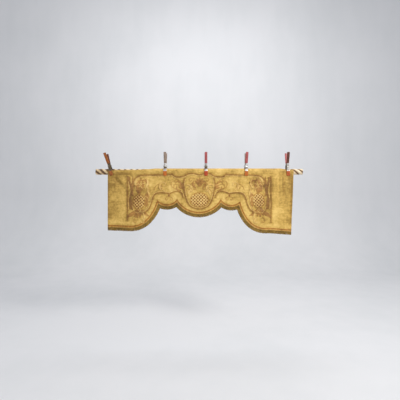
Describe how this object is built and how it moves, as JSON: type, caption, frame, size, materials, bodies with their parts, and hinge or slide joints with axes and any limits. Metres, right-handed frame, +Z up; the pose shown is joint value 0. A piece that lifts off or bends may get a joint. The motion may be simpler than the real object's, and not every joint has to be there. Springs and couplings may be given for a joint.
{
  "type": "lambrequin pelmet clamped on a rope-twist pole",
  "caption": "Shaped pelmet of gold silk with sewn strapwork, hem braid and short fringe, gripped over a rope-twist pole by sprung clamps.",
  "frame": {"origin": "on the pole's axis at the middle of its length", "axes": "+X along the pole, to the right seen from the front; +Z up; the cloth's front faces -Y"},
  "size_m": [1.8, 0.0883, 0.7159],
  "materials": {
    "gold_silk": "gold silk with a soft sheen",
    "hem_braid": "woven braid, two ribs",
    "hem_fringe": "short silk fringe",
    "applied_silk": "rust-gold silk, corded edges",
    "pole_paint": "cream paint, brown grooves",
    "clamp_steel": "bright pressed steel",
    "clamp_spring": "dark spring steel",
    "clamp_vinyl": "dipped orange-red vinyl"
  },
  "bodies": {
    "root": {"pole": "pole_paint", "ground_cloth": "gold_silk", "galloon_tail_left": "hem_braid", "galloon_scallop_left": "hem_braid", "galloon_swag": "hem_braid", "galloon_scallop_right": "hem_braid", "galloon_tail_right": "hem_braid", "fringe_tail_left": "hem_fringe", "fringe_scallop_left": "hem_fringe", "fringe_swag": "hem_fringe", "fringe_scallop_right": "hem_fringe", "fringe_tail_right": "hem_fringe", "border_braid_left": "applied_silk", "border_braid_right": "applied_silk", "upper_strap": "applied_silk", "cartouche_strap": "applied_silk", "lower_strap_left": "applied_silk", "lower_strap_right": "applied_silk", "side_band_left": "applied_silk", "side_band_right": "applied_silk", "medallion_left": "applied_silk", "medallion_centre": "applied_silk", "medallion_right": "applied_silk", "palmette": "applied_silk", "clamp_1_front_arm": "clamp_steel", "clamp_1_back_arm": "clamp_steel", "clamp_1_spring": "clamp_spring", "clamp_1_front_tip": "clamp_vinyl", "clamp_1_back_tip": "clamp_vinyl", "clamp_1_front_grip": "clamp_vinyl", "clamp_1_back_grip": "clamp_vinyl", "clamp_2_front_arm": "clamp_steel", "clamp_2_back_arm": "clamp_steel", "clamp_2_spring": "clamp_spring", "clamp_2_front_tip": "clamp_vinyl", "clamp_2_back_tip": "clamp_vinyl", "clamp_2_front_grip": "clamp_vinyl", "clamp_2_back_grip": "clamp_vinyl", "clamp_3_front_arm": "clamp_steel", "clamp_3_back_arm": "clamp_steel", "clamp_3_spring": "clamp_spring", "clamp_3_front_tip": "clamp_vinyl", "clamp_3_back_tip": "clamp_vinyl", "clamp_3_front_grip": "clamp_vinyl", "clamp_3_back_grip": "clamp_vinyl", "clamp_4_front_arm": "clamp_steel", "clamp_4_back_arm": "clamp_steel", "clamp_4_spring": "clamp_spring", "clamp_4_front_tip": "clamp_vinyl", "clamp_4_back_tip": "clamp_vinyl", "clamp_4_front_grip": "clamp_vinyl", "clamp_4_back_grip": "clamp_vinyl", "clamp_5_front_arm": "clamp_steel", "clamp_5_back_arm": "clamp_steel", "clamp_5_spring": "clamp_spring", "clamp_5_front_tip": "clamp_vinyl", "clamp_5_back_tip": "clamp_vinyl", "clamp_5_front_grip": "clamp_vinyl", "clamp_5_back_grip": "clamp_vinyl"}
  },
  "joints": []
}
